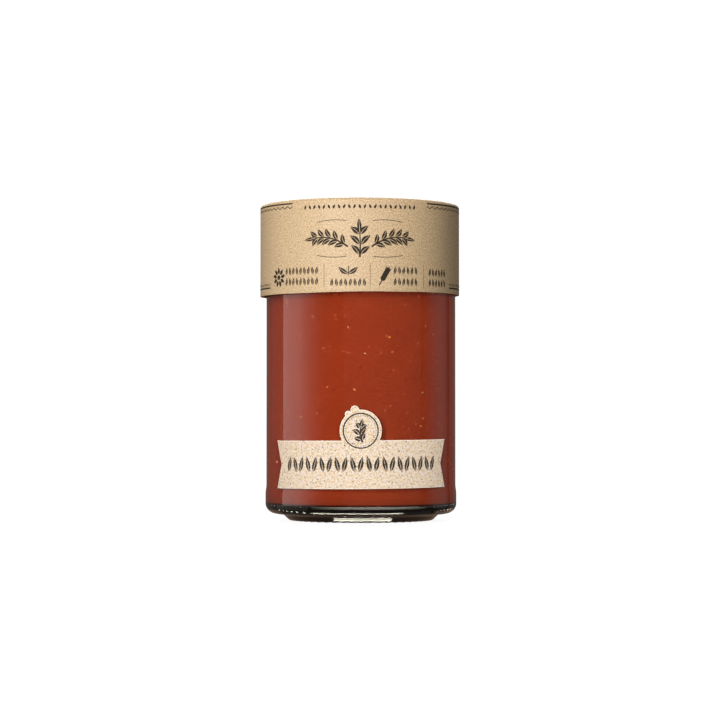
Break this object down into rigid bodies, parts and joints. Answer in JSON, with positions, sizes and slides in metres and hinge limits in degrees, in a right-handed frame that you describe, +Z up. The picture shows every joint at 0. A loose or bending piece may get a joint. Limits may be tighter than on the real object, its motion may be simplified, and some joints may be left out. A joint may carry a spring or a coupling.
{
  "type": "jar of tomato passata",
  "caption": "Straight glass jar of tomato passata with a heavy base, shut under a kraft paper cover, with a swallow-tailed paper label on the front.",
  "frame": {"origin": "middle of the foot, on the plane that the jar stands on", "axes": "+Z up along the jar's axis, -Y towards the front with the label, +X to the right seen from the front"},
  "size_m": [0.087, 0.087, 0.1375],
  "materials": {
    "glass": "clear flint glass with a faint green cast in the thick base",
    "passata": "wet smooth tomato passata with small orange flecks",
    "kraft": "matt brown kraft paper with fine fibres",
    "label_paper": "matt cream recycled paper with orange and grey flecks",
    "ink": "matt dark grey print"
  },
  "bodies": {
    "root": {"glass_jar": "glass", "passata": "passata", "label": "label_paper", "kraft_cover": "kraft"}
  },
  "joints": []
}
